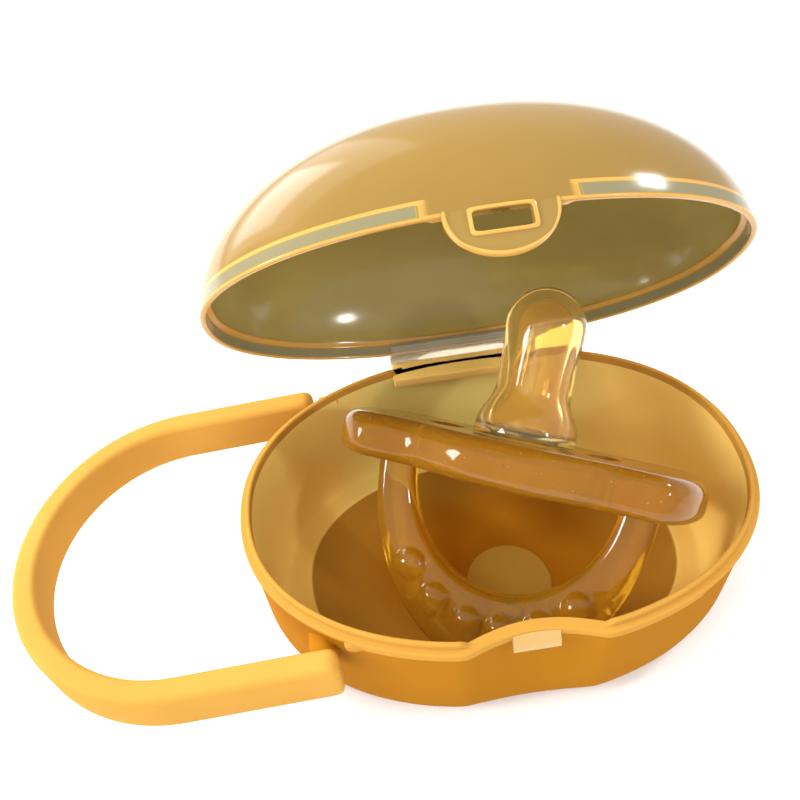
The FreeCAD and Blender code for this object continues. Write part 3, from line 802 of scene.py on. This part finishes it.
lid_plastic = plastic("lid_plastic", ((0.0, (0.30, 0.26, 0.13)), (0.3, (0.42, 0.33, 0.10)),
                                      (0.6, (0.36, 0.21, 0.038)), (1.0, (0.80, 0.43, 0.09))),
                      0.24, (0.10, 0.18))
# Pale clear plastic of the hinge leaf and web, lightened further as painted light because the leaf faces
# down into shade.
hinge_plastic = plastic("hinge_plastic", ((0.3, (0.92, 0.84, 0.64)), (0.7, (0.98, 0.93, 0.78))),
                        0.65, (0.06, 0.12), tone=False)
strap_plastic = plastic("strap_plastic", ((0.3, (0.57, 0.29, 0.05)), (0.7, (0.63, 0.33, 0.065))),
                        0.05, (0.30, 0.40), tone=False, gloss=0.0)
pale_plastic = plastic("catch_plastic", ((0.3, (0.64, 0.38, 0.11)), (0.7, (0.70, 0.43, 0.15))),
                       0.2, (0.2, 0.3), tone=False)
shield_silicone = silicone("shield_silicone", (0.53, 0.235, 0.015), (0.43, 0.175, 0.009), 0.6, gloss=0.4)
ring_silicone = silicone("ring_silicone", (0.71, 0.40, 0.024), (0.63, 0.33, 0.016), 0.82, gloss=0.8)
nipple_silicone = silicone("nipple_silicone", (1.0, 0.79, 0.32), (0.97, 0.73, 0.26), 0.92,
                           specks=False, gloss=0.5)

# --- pieces -----------------------------------------------------------------------------------------
case_base = build_base()
wear(case_base, case_plastic)
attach(case_base, "base")
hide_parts("base_shell")

case_lid = build_lid()
wear(case_lid, lid_plastic)
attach(case_lid, "lid")
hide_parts("lid_shell")

lid_tab = build_tab()
wear(lid_tab, lid_plastic)
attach(lid_tab, "lid")
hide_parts("latch_tab")

lid_leaf = rounded_box("lid_hinge_leaf", (-HINGE_HALF, LID_LEAF_FRONT, RIM + SEAM),
                       (HINGE_HALF, LEAF_BACK, RIM + LID_LEAF_HEIGHT), 0.15, swing_open,
                       [(RIM + height, GROOVE_DEPTH) for height in GROOVE_HEIGHTS])
wear(lid_leaf, hinge_plastic)
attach(lid_leaf, "lid")
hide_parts("hinge_leaf_lid")

base_leaf = rounded_box("base_hinge_leaf", (-HINGE_HALF, LEDGE_FRONT, RIM - LEDGE_DEPTH),
                        (HINGE_HALF, LEAF_BACK, RIM), 0.2)
wear(base_leaf, rim_plastic)
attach(base_leaf, "base")
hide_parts("hinge_leaf_base")

web = build_web()
wear(web, hinge_plastic)
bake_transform(web)
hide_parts("hinge_web")

strap = build_strap()
wear(strap, strap_plastic)
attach(strap, "handle")
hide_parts("handle_strap")

shield = build_shield()
wear(shield, shield_silicone)
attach(shield, "pacifier")
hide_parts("shield")

ring = build_ring()
wear(ring, ring_silicone)
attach(ring, "pacifier")
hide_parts("ring_handle")

nipple = build_nipple()
wear(nipple, nipple_silicone)
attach(nipple, "pacifier")
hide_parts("nipple")
along, across, up = pacifier_axes()
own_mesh(nipple)

for name in ("latch_catch", "handle_peg_front", "handle_peg_rear"):
    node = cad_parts[name]
    node.data.shade_smooth()
    wear(node, pale_plastic if name == "latch_catch" else wall_plastic)


# --- stage ------------------------------------------------------------------------------------------
def build_floor():
    """Plain pale floor under the case, in metres."""
    size, height, steps = 1.6, -0.0002, 40
    across = steps + 1
    verts = [((i / steps - 0.5) * size, (j / steps - 0.5) * size, height)
             for j in range(across) for i in range(across)]
    faces = [(j * across + i, j * across + i + 1, (j + 1) * across + i + 1, (j + 1) * across + i)
             for j in range(steps) for i in range(steps)]
    mesh = bpy.data.meshes.new("floor")
    mesh.from_pydata(verts, [], faces)
    floor = bpy.data.objects.new("floor", mesh)
    bpy.context.scene.collection.objects.link(floor)
    material, tree, shader = new_material("floor_paper")
    colour = ramp(tree, noise(tree, 6.0).outputs["Fac"],
                  ((0.3, (0.90, 0.90, 0.89)), (0.7, (0.93, 0.93, 0.925))))
    tree.links.new(colour.outputs["Color"], shader.inputs["Base Color"])
    shader.inputs["Roughness"].default_value = 0.9
    wear(floor, material)


def area_light(name, place, target, size, power, mirrored=True):
    """Rectangular light aimed at a point; an unmirrored one leaves no reflection of itself."""
    lamp = bpy.data.lights.new(name, "AREA")
    lamp.shape, lamp.size, lamp.size_y = "RECTANGLE", size[0], size[1]
    lamp.energy = power
    holder = bpy.data.objects.new(name, lamp)
    bpy.context.scene.collection.objects.link(holder)
    holder.location = place
    holder.rotation_euler = (Vector(target) - Vector(place)).to_track_quat("-Z", "Y").to_euler()
    holder.visible_glossy = mirrored


def build_camera():
    """Camera from its azimuth, elevation and roll about the view line."""
    azimuth, elevation, roll = math.radians(-2.82), math.radians(46.32), math.radians(-6.23)
    back = Vector((math.sin(azimuth) * math.cos(elevation), -math.cos(azimuth) * math.cos(elevation),
                   math.sin(elevation)))
    right = Vector((0, 0, 1)).cross(back).normalized()
    over = back.cross(right)
    turned_right = right * math.cos(roll) + over * math.sin(roll)
    turned_up = over * math.cos(roll) - right * math.sin(roll)
    data = bpy.data.cameras.new("camera")
    data.sensor_width, data.lens = 36.0, 38.34765
    data.shift_x, data.shift_y = 0.023, -0.030
    data.clip_start = 0.005
    holder = bpy.data.objects.new("camera", data)
    bpy.context.scene.collection.objects.link(holder)
    holder.matrix_world = Matrix((
        (turned_right.x, turned_up.x, back.x, -0.01723),
        (turned_right.y, turned_up.y, back.y, -0.06811),
        (turned_right.z, turned_up.z, back.z, 0.11610),
        (0, 0, 0, 1)))
    bpy.context.scene.camera = holder


build_floor()
world = bpy.data.worlds.new("studio")
bpy.context.scene.world = world
world.use_nodes = True
world.node_tree.nodes["Background"].inputs["Color"].default_value = (1.0, 1.0, 1.0, 1.0)
world.node_tree.nodes["Background"].inputs["Strength"].default_value = 0.9
centre = (0.0, 0.01, 0.03)
area_light("key", (-0.30, 0.15, 0.42), centre, (0.62, 0.50), 2.4, mirrored=False)
area_light("back_left", (-0.29, 0.42, 0.20), centre, (0.30, 0.22), 0.7)
area_light("back", (-0.28, 0.46, 0.26), centre, (0.55, 0.45), 0.9)
area_light("window", (0.36, 0.104, 0.337), centre, (0.06, 0.07), 0.6)
area_light("front_right", (0.28, -0.25, 0.27), centre, (0.04, 0.04), 0.4)
area_light("fill", (-0.22, -0.22, 0.38), centre, (0.25, 0.25), 0.7, mirrored=False)
area_light("left", (-0.37, -0.05, 0.22), centre, (0.10, 0.11), 0.9)
build_camera()
bpy.context.scene.view_settings.view_transform = "Standard"
